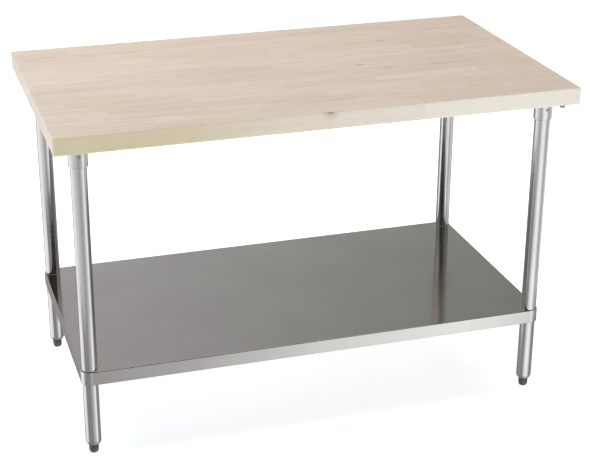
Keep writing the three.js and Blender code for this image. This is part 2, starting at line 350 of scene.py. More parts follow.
# %% Lamps
def add_lamp(name, place, aim, width, height, power, colour=(1, 1, 1)):
    data = bpy.data.lights.new(name, "AREA")
    data.shape = "RECTANGLE"
    data.size = width
    data.size_y = height
    data.energy = power
    data.color = colour
    lamp = bpy.data.objects.new(name, data)
    lamp.location = place
    lamp.rotation_euler = (Vector(aim) - Vector(place)).to_track_quat("-Z", "Y").to_euler()
    bpy.context.scene.collection.objects.link(lamp)
    return lamp


cool_white = (0.90, 0.955, 1.0)
warm_white = (1.0, 0.94, 0.88)
lamps = [
    add_lamp("overhead_left", (-1.3, 0.2, 2.9), (-0.4, 0, 0.9), 2.2, 2.2, 40, cool_white),
    add_lamp("overhead_right", (1.2, 0.1, 2.9), (0.4, 0, 0.9), 2.2, 2.2, 21, warm_white),
    add_lamp("key", (1.7, -2.5, 0.78), (0.35, -0.38, 0.86), 1.2, 1.0, 26, (0.74, 0.89, 1.0)),
    add_lamp("front_fill", (-1.6, -2.9, 0.78), (-0.3, -0.38, 0.86), 1.4, 1.0, 3, (1.0, 0.98, 0.84)),
    add_lamp("side_fill", (-3.2, -0.4, 0.80), (-0.69, 0, 0.88), 1.4, 1.0, 37, (0.62, 0.83, 1.0)),
    add_lamp("rear", (0.6, 3.8, 1.6), (0, 0, 0.8), 2.4, 1.4, 26),
]
for lamp in lamps:
    lamp.visible_glossy = False
print("lamps:", len(lamps), "total power", sum(lamp.data.energy for lamp in lamps), "W")

# %% [markdown]
# ## Shared effects
# Four effects turn up on several parts, so each is a group that is made once.
# Polishing lines are what an abrasive belt leaves. A stripe texture would repeat, so they are
# noise drawn out along one direction, with wide clouds for the drift of the polish.

# %% Group: polishing lines
lines_group, given, result = new_group(
    "polishing_lines",
    [("Vector", "Vector", None), ("Stretch", "Vector", (2, 700, 700))],
    [("Lines", "Float"), ("Clouds", "Float")])
drawn = vector_node(lines_group, "MULTIPLY", given["Vector"], given["Stretch"])
fine = noise_node(lines_group, drawn, 1.0, 4.0, 0.65)
feed(lines_group, result["Lines"], remap(lines_group, fine, 0.25, 0.75))
cloud = noise_node(lines_group, given["Vector"], 5.0, 3.0, 0.5)
feed(lines_group, result["Clouds"], remap(lines_group, cloud, 0.3, 0.7))
print(lines_group.name, "nodes:", len(lines_group.nodes))

# %% [markdown]
# Handling marks are the dull places that hands and cloths leave. One noise says where they lie
# and a finer one breaks them up. Neither alone would do: the first looks like fog, the second
# like dust.

# %% Group: handling marks
marks_group, given, result = new_group(
    "handling_marks",
    [("Vector", "Vector", None), ("Size", "Float", 14.0)],
    [("Mask", "Float")])
wide = noise_node(marks_group, given["Vector"], given["Size"], 2.0, 0.4)
finer_size = math_node(marks_group, "MULTIPLY", given["Size"], 9.0)
small = noise_node(marks_group, given["Vector"], finer_size, 3.0)
where = remap(marks_group, wide, 0.48, 0.7)
broken = remap(marks_group, small, 0.3, 0.6)
feed(marks_group, result["Mask"], math_node(marks_group, "MULTIPLY", where, broken))
print(marks_group.name, "nodes:", len(marks_group.nodes))

# %% [markdown]
# Edges are rubbed bright by use. This group follows a mark that each mesh carries where it bends
# outwards tightly. Pointiness would be the usual way, but it is stored at points, so on a large
# flat face it spreads in from the corners.

# %% Group: rubbed edges
rub_group, given, result = new_group(
    "rubbed_edges",
    [("Vector", "Vector", None), ("Edge", "Float", 0.0), ("Breakup", "Float", 160.0)],
    [("Mask", "Float")])
worn = remap(rub_group, given["Edge"], 0.15, 1.0)
patchy = remap(rub_group, noise_node(rub_group, given["Vector"], given["Breakup"], 4.0, 0.6), 0.3, 0.7)
feed(rub_group, result["Mask"], math_node(rub_group, "MULTIPLY", worn, patchy))
print(rub_group.name, "nodes:", len(rub_group.nodes))

# %% [markdown]
# Castings, mouldings and plating all have a fine pebble. It gives a height for the bump and a
# slower tone for the colour, and each material sets how fine the pebble is.

# %% Group: cast skin
cast_group, given, result = new_group(
    "cast_skin",
    [("Vector", "Vector", None), ("Grain", "Float", 900.0)],
    [("Height", "Float"), ("Tone", "Float")])
feed(cast_group, result["Height"], noise_node(cast_group, given["Vector"], given["Grain"], 4.0, 0.6))
tone = noise_node(cast_group, given["Vector"], 60.0, 3.0)
feed(cast_group, result["Tone"], remap(cast_group, tone, 0.3, 0.7))
print(cast_group.name, "nodes:", len(cast_group.nodes))

# %% [markdown]
# ## Steel finishes
# The legs, sockets and collars are polished tube: clean and bright, with faint lines round them.
# A plain mirror would look like glass, so roughness changes with the lines and with handling
# marks, and reflections break up a little.

# %% Material: polished tube
polished_tube, tree, shader = new_material("polished_tube")
place = object_place(tree)
lines = use_group(tree, lines_group, Vector=place, Stretch=(6, 6, 900))
marks = use_group(tree, marks_group, Vector=place, Size=9.0)
bright_steel = (0.66, 0.645, 0.65, 1)
shaded_steel = (0.57, 0.56, 0.56, 1)
lined = laid_over(tree, bright_steel, lines["Lines"], 0.35, (0.52, 0.51, 0.51, 1))
mottled = laid_over(tree, lined, lines["Clouds"], 0.7, shaded_steel)
dulled = laid_over(tree, mottled, marks["Mask"], 0.20, (0.50, 0.49, 0.485, 1))
feed(tree, shader.inputs["Base Color"], dulled)
base_gloss = remap(tree, lines["Lines"], 0.0, 1.0, 0.09, 0.20)
feed(tree, shader.inputs["Roughness"], math_node(tree, "MULTIPLY_ADD", marks["Mask"], 0.05, base_gloss))
shader.inputs["Metallic"].default_value = 1.0
bump(tree, shader, lines["Lines"], 0.30, 0.05 * MM)
print(polished_tube.name, "nodes:", len(tree.nodes))

# %% [markdown]
# The shelf and rails are satin sheet. The mill's grain runs along the length, and the tint drifts
# from warm to green-grey, as it does on large sheets. The drift is a slow noise on top of an even
# change from left to right, because an even change alone looks like paint.

# %% Material: satin sheet
satin_sheet, tree, shader = new_material("satin_sheet")
place = object_place(tree)
lines = use_group(tree, lines_group, Vector=place, Stretch=(3, 650, 650))
marks = use_group(tree, marks_group, Vector=place, Size=6.0)
rubbed = use_group(tree, rub_group, Vector=place, Edge=mesh_mark(tree, "edge"), Breakup=120.0)
across = add_node(tree, "ShaderNodeSeparateXYZ")
feed(tree, across.inputs[0], place)
drift = noise_node(tree, place, 2.2, 2.0, 0.45)
towards_right = remap(tree, across.outputs["X"], -0.65, 0.35)
drift_from_mean = math_node(tree, "SUBTRACT", drift, 0.5)
tint_share = math_node(tree, "MULTIPLY_ADD", drift_from_mean, 1.4, towards_right, clamp=True)
warm_sheet = (0.530, 0.500, 0.505, 1)
green_grey_sheet = (0.530, 0.545, 0.510, 1)
sheet_tint = blend_colour(tree, tint_share, warm_sheet, green_grey_sheet)
streaked = laid_over(tree, sheet_tint, lines["Lines"], 0.34, (0.45, 0.44, 0.43, 1))
clouded = laid_over(tree, streaked, lines["Clouds"], 0.16, (0.70, 0.69, 0.68, 1))
dulled = laid_over(tree, clouded, marks["Mask"], 0.14, (0.46, 0.45, 0.44, 1))
polished_edge = laid_over(tree, dulled, rubbed["Mask"], 0.5, (0.74, 0.73, 0.72, 1))
feed(tree, shader.inputs["Base Color"], polished_edge)
base_gloss = remap(tree, lines["Lines"], 0.0, 1.0, 0.070, 0.135)
feed(tree, shader.inputs["Roughness"], math_node(tree, "MULTIPLY_ADD", marks["Mask"], 0.03, base_gloss))
shader.inputs["Metallic"].default_value = 1.0
bump(tree, shader, lines["Lines"], 0.16, 0.04 * MM)
print(satin_sheet.name, "nodes:", len(tree.nodes))

# %% [markdown]
# Bolts and set screws are plain zinc-plated steel that has gone dark, and bright only where a
# spanner or key has rubbed the corners.

# %% Material: dark zinc
dark_zinc, tree, shader = new_material("dark_zinc")
place = object_place(tree)
skin_noise = use_group(tree, cast_group, Vector=place, Grain=1400.0)
rubbed = use_group(tree, rub_group, Vector=place, Edge=mesh_mark(tree, "edge"), Breakup=500.0)
plated = blend_colour(tree, skin_noise["Tone"], (0.16, 0.165, 0.17, 1), (0.26, 0.265, 0.265, 1))
feed(tree, shader.inputs["Base Color"], blend_colour(tree, rubbed["Mask"], plated, (0.52, 0.51, 0.49, 1)))
feed(tree, shader.inputs["Roughness"], remap(tree, skin_noise["Tone"], 0.0, 1.0, 0.30, 0.46))
shader.inputs["Metallic"].default_value = 1.0
bump(tree, shader, skin_noise["Height"], 0.15, 0.05 * MM)
print(dark_zinc.name, "nodes:", len(tree.nodes))

# %% [markdown]
# A weld bead on stainless keeps a straw and blue heat tint. One slow noise chooses between the
# two, and drives the roughness as well, because the bluer metal got hotter and is rougher.

# %% Material: weld metal
weld_metal, tree, shader = new_material("weld_metal")
place = object_place(tree)
heat = remap(tree, noise_node(tree, place, 70.0, 2.0), 0.35, 0.65)
tinted = blend_colour(tree, heat, (0.52, 0.49, 0.45, 1), (0.44, 0.45, 0.50, 1))
feed(tree, shader.inputs["Base Color"], tinted)
feed(tree, shader.inputs["Roughness"], remap(tree, heat, 0.0, 1.0, 0.24, 0.38))
shader.inputs["Metallic"].default_value = 1.0
bump(tree, shader, noise_node(tree, place, 1500.0, 3.0), 0.2, 0.05 * MM)
print(weld_metal.name, "nodes:", len(tree.nodes))

# %% [markdown]
# The tapered shoulder at the end of a leg is a tumbled casting, satin and slightly pebbled.
# Tumbling rounds and brightens the edges, so it takes the rubbed edges group too.

# %% Material: tumbled casting
tumbled_casting, tree, shader = new_material("tumbled_casting")
place = object_place(tree)
skin_noise = use_group(tree, cast_group, Vector=place, Grain=800.0)
rubbed = use_group(tree, rub_group, Vector=place, Edge=mesh_mark(tree, "edge"), Breakup=220.0)
grey_casting = blend_colour(tree, skin_noise["Tone"], (0.60, 0.60, 0.60, 1), (0.50, 0.50, 0.51, 1))
brightened = blend_colour(tree, rubbed["Mask"], grey_casting, (0.74, 0.74, 0.73, 1))
feed(tree, shader.inputs["Base Color"], brightened)
feed(tree, shader.inputs["Roughness"], remap(tree, skin_noise["Tone"], 0.0, 1.0, 0.26, 0.38))
shader.inputs["Metallic"].default_value = 1.0
bump(tree, shader, skin_noise["Height"], 0.25, 0.10 * MM)
print(tumbled_casting.name, "nodes:", len(tree.nodes))

# %% [markdown]
# The foot is moulded nylon, dark grey-green, and paler where its nose has scuffed on the floor.
# The scuff follows the height above the sole, so that it stays on the foot when the foot moves.

# %% Material: foot nylon
foot_nylon, tree, shader = new_material("foot_nylon")
place = object_place(tree)
skin_noise = use_group(tree, cast_group, Vector=place, Grain=1100.0)
marks = use_group(tree, marks_group, Vector=place, Size=60.0)
height = add_node(tree, "ShaderNodeSeparateXYZ")
feed(tree, height.inputs[0], place)
near_floor = remap(tree, height.outputs["Z"], 7 * MM, 0.5 * MM)
nylon = blend_colour(tree, skin_noise["Tone"], (0.050, 0.078, 0.070, 1), (0.080, 0.108, 0.098, 1))
scuffed = math_node(tree, "MULTIPLY", math_node(tree, "ADD", near_floor, marks["Mask"], clamp=True), 0.4)
feed(tree, shader.inputs["Base Color"], blend_colour(tree, scuffed, nylon, (0.21, 0.23, 0.22, 1)))
feed(tree, shader.inputs["Roughness"], remap(tree, skin_noise["Tone"], 0.0, 1.0, 0.38, 0.55))
bump(tree, shader, skin_noise["Height"], 0.25, 0.08 * MM)
print(foot_nylon.name, "nodes:", len(tree.nodes))

# %% [markdown]
# ## Maple
# The top is glued from long narrow staves with their edges up, and each stave is made of shorter
# lengths with interlocking finger joints. We paint the wood as a solid: growth rings are cylinders
# round a pith that runs along the stave, so that the upper face shows streaks and the sawn end shows
# arcs, and the two agree at the edge. Each stave carries its own number and pith place as mesh
# attributes, so one material serves all of them and no two look alike.

# %% Group: maple figure
figure_group, given, result = new_group(
    "maple_figure",
    [("Vector", "Vector", None), ("Pith", "Vector", None), ("Stave", "Float", 0.0),
     ("Pale", "Color", (1, 1, 1, 1)), ("Deep", "Color", (0.5, 0.5, 0.5, 1)), ("Ring Width", "Float", 0.0032)],
    [("Color", "Color"), ("Grain", "Float"), ("Lengths", "Float"), ("Tints", "Float"), ("Joint", "Float")])
group = figure_group
stave_number = given["Stave"]
spread = add_node(group, "ShaderNodeCombineXYZ")
for axis, metres_apart in (("X", 31.0), ("Y", 17.0), ("Z", 23.0)):
    feed(group, spread.inputs[axis], math_node(group, "MULTIPLY", stave_number, metres_apart))
own_place = vector_node(group, "ADD", given["Vector"], spread.outputs[0])
slow = noise_node(group, vector_node(group, "MULTIPLY", own_place, (1.6, 9.0, 9.0)), 1.0, 3.0)
from_pith = vector_node(group, "SUBTRACT", given["Vector"], given["Pith"])
flat = vector_node(group, "MULTIPLY", from_pith, (0.0, 1.0, 1.0))
distance = vector_node(group, "LENGTH", flat, (0, 0, 0))
bent = math_node(group, "MULTIPLY_ADD", slow, 0.020, distance)
rings = math_node(group, "FRACT", math_node(group, "DIVIDE", bent, given["Ring Width"]))
late_wood = remap(group, rings, 0.55, 0.97)
streaks = noise_node(group, vector_node(group, "MULTIPLY", own_place, (3.5, 120.0, 120.0)), 1.0, 4.0, 0.6)
pores = noise_node(group, vector_node(group, "MULTIPLY", own_place, (45.0, 1300.0, 1300.0)), 1.0, 3.0, 0.6)
flecks = noise_node(group, vector_node(group, "MULTIPLY", own_place, (160.0, 420.0, 900.0)), 1.0)
ray_fleck = remap(group, flecks, 0.66, 0.8)
print("nodes for rings, streaks, pores and flecks:", len(group.nodes))

# %% [markdown]
# The jointed lengths are random cells along the stave, with a zigzag at their ends where the
# fingers mesh. Separate meshes for each length would be heavy and their joints would never show
# as more than a line, so the cells of a one-way Voronoi texture do it in the paint.

# %% Maple figure: jointed lengths
finger_height = 4 * MM
finger_slope = 2.6
lengths_in_a_metre = 3.4
cut = add_node(group, "ShaderNodeSeparateXYZ")
feed(group, cut.inputs[0], given["Vector"])
finger = math_node(group, "PINGPONG", cut.outputs["Z"], finger_height)
along = math_node(group, "MULTIPLY_ADD", finger, finger_slope, cut.outputs["X"])
scaled = math_node(group, "MULTIPLY", along, lengths_in_a_metre)
counted = math_node(group, "MULTIPLY_ADD", stave_number, 57.0, scaled)


def cells_along(feature):
    cells = add_node(group, "ShaderNodeTexVoronoi", voronoi_dimensions="1D", feature=feature)
    feed(group, cells.inputs["W"], counted)
    cells.inputs["Scale"].default_value = 1.0
    cells.inputs["Randomness"].default_value = 0.75
    return cells.outputs


cells = cells_along("F1")
cell_ends = cells_along("DISTANCE_TO_EDGE")
joint_line = remap(group, cell_ends["Distance"], 0.0, 0.003, 1.0, 0.0)
own_cell = add_node(group, "ShaderNodeSeparateColor")
feed(group, own_cell.inputs[0], cells["Color"])
lengths = own_cell.outputs[0]
tints = own_cell.outputs[1]
print("nodes with the joints:", len(group.nodes))

# %% [markdown]
# Late wood, streaks, pores and the tone of each length all push the colour the same way, from
# pale to deep. Their shares add up, so that no one of them has to be strong enough to look drawn.

# %% Maple figure: colour
deep_share = math_node(group, "MULTIPLY", late_wood, 0.24)
deep_share = math_node(group, "MULTIPLY_ADD", remap(group, streaks, 0.30, 0.75), 0.42, deep_share)
deep_share = math_node(group, "MULTIPLY_ADD", remap(group, pores, 0.52, 0.75), 0.14, deep_share)
deep_share = math_node(group, "MULTIPLY_ADD", lengths, 0.36, deep_share, clamp=True)
figured = blend_colour(group, deep_share, given["Pale"], given["Deep"])
flecked = laid_over(group, figured, ray_fleck, 0.22, (0.86, 0.78, 0.66, 1))
feed(group, result["Color"], flecked)
feed(group, result["Grain"], math_node(group, "ADD", math_node(group, "MULTIPLY", pores, 0.6), late_wood))
feed(group, result["Lengths"], lengths)
feed(group, result["Tints"], tints)
feed(group, result["Joint"], joint_line)
print(figure_group.name, "nodes:", len(figure_group.nodes))

# %% [markdown]
# A pin knot is a small dark spot with a softer halo that is drawn out along the stave. Noise
# could scatter them, but a top has only a few and their places matter, so the group makes one
# knot and the material says where each one goes.

# %% Group: pin knot
knot_group, given, result = new_group(
    "pin_knot",
    [("Vector", "Vector", None), ("Centre", "Vector", None), ("Radius", "Float", 0.003)],
    [("Core", "Float"), ("Halo", "Float")])
away = vector_node(knot_group, "SUBTRACT", given["Vector"], given["Centre"])
ragged = noise_node(knot_group, given["Vector"], 260.0, 2.0)
squeezed = vector_node(knot_group, "MULTIPLY", away, (0.30, 1.0, 0.35))
how_far = vector_node(knot_group, "LENGTH", squeezed, (0, 0, 0))
reach = math_node(knot_group, "DIVIDE", how_far, given["Radius"])
reach = math_node(knot_group, "MULTIPLY_ADD", math_node(knot_group, "SUBTRACT", ragged, 0.5), 0.8, reach)
feed(knot_group, result["Core"], remap(knot_group, reach, 1.0, 0.55))
feed(knot_group, result["Halo"], remap(knot_group, reach, 3.2, 0.9))
print(knot_group.name, "nodes:", len(knot_group.nodes))

# %% [markdown]
# Oiled maple takes its figure from the group and then ages it, in the order that it happens to a
# real top: the tan of some boards, the open grain of the sawn end, the joints, the stains and the
# rubbed arrises. After the tan, the front edge gets painted light: a darker yellow painted shade
# towards its left end and a pale painted highlight at its right end, where the key lamp falls.
# The pin knots come last. Each one's place is counted in staves back from the front edge and in
# shares of the length from the left.

# %% Material: oiled maple
top_low, top_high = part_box("top_stave_01")
top_face = top_high.z
oiled_maple, tree, shader = new_material("oiled_maple")
place = object_place(tree)
figure = use_group(
    tree, figure_group, Vector=place, Pith=mesh_mark(tree, "pith", "Vector"), Stave=mesh_mark(tree, "stave"),
    Pale=(0.81, 0.68, 0.585, 1), Deep=(0.62, 0.475, 0.385, 1))
marks = use_group(tree, marks_group, Vector=place, Size=5.0)
rubbed = use_group(tree, rub_group, Vector=place, Edge=mesh_mark(tree, "edge"), Breakup=90.0)
tan_share = math_node(tree, "MULTIPLY", remap(tree, figure["Tints"], 0.45, 0.75), 0.32)
tanned = blend_colour(tree, tan_share, figure["Color"], (0.72, 0.63, 0.46, 1))
spot = add_node(tree, "ShaderNodeSeparateXYZ")
feed(tree, spot.inputs[0], place)
# Painted light on the front face: a darker yellow painted shade towards the left end that turns into a pale
# painted highlight at the right end, stronger on some jointed lengths than others.
painted_light_along_front = remap(tree, spot.outputs["X"], -0.45, 0.10)
front_painted_light = blend_colour(tree, painted_light_along_front, (0.71, 0.60, 0.355, 1), (0.87, 0.79, 0.68, 1))
front_face = remap(tree, spot.outputs["Y"], top_low.y + 3 * MM, top_low.y + 1 * MM, 0.10, 1.0)
painted_front_light_strength = math_node(tree, "MULTIPLY_ADD", figure["Lengths"], 0.45, 0.35)
painted_front_light_strength = math_node(tree, "MULTIPLY", painted_front_light_strength, front_face)
painted_front_light_share = math_node(tree, "MULTIPLY", mesh_mark(tree, "edge_board"), painted_front_light_strength)
with_painted_front_light = blend_colour(tree, painted_front_light_share, tanned, front_painted_light)
from_middle = math_node(tree, "ABSOLUTE", spot.outputs["X"])
sawn_end = remap(tree, from_middle, top_high.x - 2.5 * MM, top_high.x - 1 * MM)
end_rings = math_node(tree, "MULTIPLY", sawn_end, math_node(tree, "MULTIPLY", figure["Grain"], 0.42))
ringed = blend_colour(tree, end_rings, with_painted_front_light, (0.50, 0.38, 0.28, 1))
jointed = laid_over(tree, ringed, figure["Joint"], 0.30, (0.42, 0.32, 0.22, 1))
stained = laid_over(tree, jointed, marks["Mask"], 0.10, (0.58, 0.47, 0.36, 1))
wood = laid_over(tree, stained, rubbed["Mask"], 0.18, (0.88, 0.79, 0.66, 1))
stave_width = top_high.y - top_low.y
knots = [(13.5, 0.75), (11.5, 0.90), (8.5, 0.65), (7.5, 0.70), (7.5, 0.80), (0.0, 0.50)]
for staves_back, share_along in knots:
    knot_x = top_low.x + share_along * (top_high.x - top_low.x)
    knot_y = top_low.y + staves_back * stave_width
    knot = use_group(tree, knot_group, Vector=place, Centre=(knot_x, knot_y, top_face), Radius=3 * MM)
    haloed = laid_over(tree, wood, knot["Halo"], 0.40, (0.50, 0.39, 0.28, 1))
    wood = laid_over(tree, haloed, knot["Core"], 0.55, (0.27, 0.20, 0.14, 1))
feed(tree, shader.inputs["Base Color"], wood)
rough = remap(tree, figure["Grain"], 0.0, 1.4, 0.42, 0.58)
feed(tree, shader.inputs["Roughness"], math_node(tree, "MULTIPLY_ADD", marks["Mask"], -0.08, rough))
shader.inputs["Specular IOR Level"].default_value = 0.35
bump(tree, shader, figure["Grain"], 0.12, 0.10 * MM)
print(oiled_maple.name, "nodes:", len(tree.nodes), "knots:", len(knots))

# %% [markdown]
# ## Tools for shapes
# Nearly every part is either turned, folded or pushed along a line. An outline comes first:
# `rounded` puts arcs in its corners, and `folded` gives a bent line the thickness of its sheet.
# A bevel modifier could round the corners later, but arcs in the outline have exact radii.

# %% Outlines
def rounded(points, radii, steps=6, closed=True):
    """An outline with an arc of the given radius at each corner. Open ends stay as they are."""
    count = len(points)
    if not isinstance(radii, (list, tuple)):
        radii = [radii] * count
    outline = []
    for i, point in enumerate(points):
        corner = Vector(point)
        if not closed and i in (0, count - 1):
            outline.append(tuple(corner))
            continue
        to_last = Vector(points[i - 1]) - corner
        to_next = Vector(points[(i + 1) % count]) - corner
        half_angle = to_last.angle(to_next) / 2
        if radii[i] <= 0 or half_angle > math.radians(89):
            outline.append(tuple(corner))
            continue
        room_left = min(to_last.length, to_next.length) * 0.49
        radius = min(radii[i], room_left * math.tan(half_angle))
        inwards = (to_last.normalized() + to_next.normalized()).normalized()
        middle = corner + inwards * radius / math.sin(half_angle)
        start = corner + to_last.normalized() * radius / math.tan(half_angle) - middle
        end = corner + to_next.normalized() * radius / math.tan(half_angle) - middle
        swing = start.angle_signed(end)
        for step in range(steps + 1):
            turn = -swing * step / steps
            x = start.x * math.cos(turn) - start.y * math.sin(turn)
            y = start.x * math.sin(turn) + start.y * math.cos(turn)
            outline.append((middle.x + x, middle.y + y))
    return outline


def folded(line, bend, sheet, steps=6):
    """The outline of a sheet that follows a bent line through its middle."""
    path = [Vector(point) for point in rounded(line, bend, steps, closed=False)]
    one_side = []
    other_side = []
    for i, point in enumerate(path):
        before = (point - path[i - 1]).normalized() if i else None
        after = (path[i + 1] - point).normalized() if i + 1 < len(path) else None
        before = before or after
        after = after or before
        along_line = (before + after).normalized()
        out = Vector((-along_line.y, along_line.x)) * (sheet / 2) / max(along_line.dot(after), 0.5)
        one_side.append(tuple(point + out))
        other_side.append(tuple(point - out))
    return one_side + other_side[::-1]


unit_square = [(0, 0), (1, 0), (1, 1), (0, 1)]
print("a square with rounded corners has", len(rounded(unit_square, 0.2)), "points")

# %% [markdown]
# A surface is a row of outlines joined by a skin. `turned` spins a profile as a lathe does,
# `pushed` moves an outline along a line as a mill rolls a section, and `hexagon` is a radius that
# follows its angle, so that a bolt head can be turned too. The skin is one closed surface, with
# no inner faces for the light to catch.

# %% Surfaces
def turned(profile, sides=96):
    """Rings round Z. A profile row is (radius, z), and radius may be a function of the angle."""
    rings = []
    for radius, z in profile:
        ring = []
        for i in range(sides):
            angle = FULL_TURN * i / sides
            r = radius(angle) if callable(radius) else radius
            ring.append((r * math.cos(angle), r * math.sin(angle), z))
        rings.append(ring)
    return rings


def skin(rings, closed=False, into=None):
    """Joins rings of equal length into a surface, capped at its ends or closed on itself."""
    mesh = into or bmesh.new()
    rows = [[mesh.verts.new(point) for point in ring] for ring in rings]
    pairs = list(zip(rows, rows[1:]))
    if closed:
        pairs.append((rows[-1], rows[0]))
    made = []
    for low, high in pairs:
        for i in range(len(low)):
            j = (i + 1) % len(low)
            made.append(mesh.faces.new((low[i], low[j], high[j], high[i])))
    if not closed:
        made.append(mesh.faces.new(rows[0][::-1]))
        made.append(mesh.faces.new(rows[-1]))
    bmesh.ops.recalc_face_normals(mesh, faces=made)
    return mesh


def pushed(outline, stations, place_point):
    """One copy of an outline at each station, where place_point turns (a, b, station) into 3-D."""
    return [[place_point(a, b, station) for a, b in outline] for station in stations]


def hexagon(flats):
    """The radius of a hexagon at each angle, from its size across the flats."""
    return lambda angle: flats / 2 / math.cos((angle + math.pi / 6) % (math.pi / 3) - math.pi / 6)


print("a hexagon 10 across its flats is", round(2 * hexagon(10)(math.pi / 6), 2), "across its corners")

# %% [markdown]
# Every piece is finished in the same way. A mark on each point says where an edge is tight enough
# to be rubbed, and weighted normals keep large flats truly flat next to small bevels, which
# matters most on steel. Then the piece rides on its body, and stands for its part of the frame.

# %% Pieces
def mark_edges(mesh):
    """Marks each point with one where the surface bends outwards tightly, and zero elsewhere."""
    surface = bmesh.new()
    surface.from_mesh(mesh)
    surface.normal_update()
    marks = []
    for point in surface.verts:
        bends = [edge.calc_face_angle_signed(0) for edge in point.link_edges]
        widths = []
        for face in point.link_faces:
            longest = max(edge.calc_length() for edge in face.edges)
            widths.append(face.calc_area() / longest)
        tight = max(bends, default=0) > math.radians(8)
        narrow = max(widths, default=1) < 3 * MM
        marks.append(1.0 if tight and narrow else 0.0)
    surface.free()
    mesh.attributes.new("edge", "FLOAT", "POINT").data.foreach_set("value", marks)


def thicken(piece, sheet):
    """Turns a single surface into a sheet of the given thickness, inwards from its outer face."""
    solidify = piece.modifiers.new("sheet", "SOLIDIFY")
    solidify.thickness = sheet
    solidify.offset = -1
    solidify.use_even_offset = True
    evaluated = piece.evaluated_get(bpy.context.evaluated_depsgraph_get())
    solid_mesh = bpy.data.meshes.new_from_object(evaluated)
    piece.modifiers.clear()
    piece.data = solid_mesh


def add_piece(name, surface, material, body, nodes=(), place=(0, 0, 0), turn=0.0, crisp=32, sheet=0.0):
    mesh = bpy.data.meshes.new(name)
    surface.to_mesh(mesh)
    surface.free()
    mesh.materials.append(material)
    piece = bpy.data.objects.new(name, mesh)
    piece.location = place
    piece.rotation_euler.z = turn
    bpy.context.scene.collection.objects.link(piece)
    if sheet:
        thicken(piece, sheet)
    mark_edges(piece.data)
    piece.data.shade_smooth()
    piece.data.set_sharp_from_angle(angle=math.radians(crisp))
    normals = piece.modifiers.new("even_normals", "WEIGHTED_NORMAL")
    normals.keep_sharp = True
    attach(piece, body)
    if nodes:
        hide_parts(*nodes)
    return piece


print("made helpers: mark_edges, thicken, add_piece")

# %% [markdown]
# Places and sizes come from the frame. The four legs stand at its corners, and nearly everything
# else is measured from their axes.

# %% Where the legs stand
def middle_of(node):
    low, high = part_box(node)
    return (low + high) / 2


def size_of(node):
    low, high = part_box(node)
    return high - low


CORNERS = {"front_left": (-1, -1), "front_right": (1, -1), "back_left": (-1, 1), "back_right": (1, 1)}
leg_axis = {corner: middle_of("leg_" + corner) for corner in CORNERS}
leg_radius = size_of("leg_front_left").x / 2
leg_x = leg_axis["front_right"].x
leg_y = leg_axis["back_right"].y
print("leg axes at", round(leg_x, 4), round(leg_y, 4), "leg radius", round(leg_radius, 5))

# %% [markdown]
# ## The maple top
# The staves are planed flush, so all that shows between them is a hair-fine glue line. Each stave
# is a rounded rectangle, seen from the front, pushed back across its own width. At a glued side
# it is eased by a tenth of a millimetre. At the front and back of the top it is eased by two, like
# the long edges and the ends, which a maker takes off so that the edge doesn't splinter.

# %% Maple staves
STAVES = sorted(name for name in frame["nodes"] if name.startswith("top_stave_"))
edge_ease = 2.2 * MM
glue_ease = 0.12 * MM
ease_steps = 6


def stave_outline(inset, length, low, high):
    radius = max(edge_ease - inset, 0.05 * MM)
    half = length / 2 - inset
    corners = [(-half, low + inset), (half, low + inset), (half, high - inset), (-half, high - inset)]
    return rounded(corners, radius, ease_steps)


def eased_end(y, ease, direction):
    """Stations and insets that round off one side of a stave, from its face inwards."""
    rows = []
    for step in range(ease_steps + 1):
        angle = math.pi / 2 * step / ease_steps
        rows.append((y + direction * ease * (1 - math.cos(angle)), ease * (1 - math.sin(angle))))
    return rows


golden_share = 0.618034
pith_scatter = 70 * MM
pith_depth = 18 * MM
pith_depth_range = 60 * MM
whole_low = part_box(STAVES[0])[0]
whole_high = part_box(STAVES[-1])[1]
pitch = (whole_high.y - whole_low.y) / len(STAVES)
length = whole_high.x - whole_low.x
for number, node in enumerate(STAVES):
    front = whole_low.y + number * pitch
    back = front + pitch
    front_ease = edge_ease if number == 0 else glue_ease
    back_ease = edge_ease if number == len(STAVES) - 1 else glue_ease
    rows = eased_end(front, front_ease, 1) + eased_end(back, back_ease, -1)[::-1]
    rings = []
    for y, inset in rows:
        outline = stave_outline(inset, length, whole_low.z, whole_high.z)
        rings.append([(x, y, z) for x, z in outline])
    stave = add_piece(node + "_planed", skin(rings), oiled_maple, "frame", [node], crisp=50)
    own = (number * golden_share + 0.21) % 1.0
    pith_y = (front + back) / 2 + (own - 0.5) * pith_scatter
    pith_z = whole_low.z - pith_depth - pith_depth_range * (number * (1 - golden_share) % 1.0)
    edge_mark = stave.data.attributes.new("edge_board", "FLOAT", "POINT")
    number_mark = stave.data.attributes.new("stave", "FLOAT", "POINT")
    pith_mark = stave.data.attributes.new("pith", "FLOAT_VECTOR", "POINT")
    for index in range(len(stave.data.vertices)):
        edge_mark.data[index].value = 1.0 if number == 0 else 0.0
        number_mark.data[index].value = own
        pith_mark.data[index].vector = (0, pith_y, pith_z)
print("staves:", len(STAVES), "pitch", round(pitch / MM, 2), "mm")

# %% [markdown]
# ## Legs, sockets and collars
# A leg is a length of welded and polished tube. A cylinder with its ends deleted would be
# thinner than paper, so the profile of the wall is turned round the axis, with a small arc at
# each corner, and closed on itself like the section of a ring.

# %% Leg tubes
leg_wall = 1.5 * MM
tube_rim = 0.35 * MM


def sleeve_profile(inner, outer, low, high, rim):
    corners = [(inner, low), (outer, low), (outer, high), (inner, high)]
    return rounded(corners, [rim * 0.4, rim, rim, rim * 0.4], 5)


def place_at(corner, z=0.0):
    axis = leg_axis[corner]
    return (axis.x, axis.y, z)


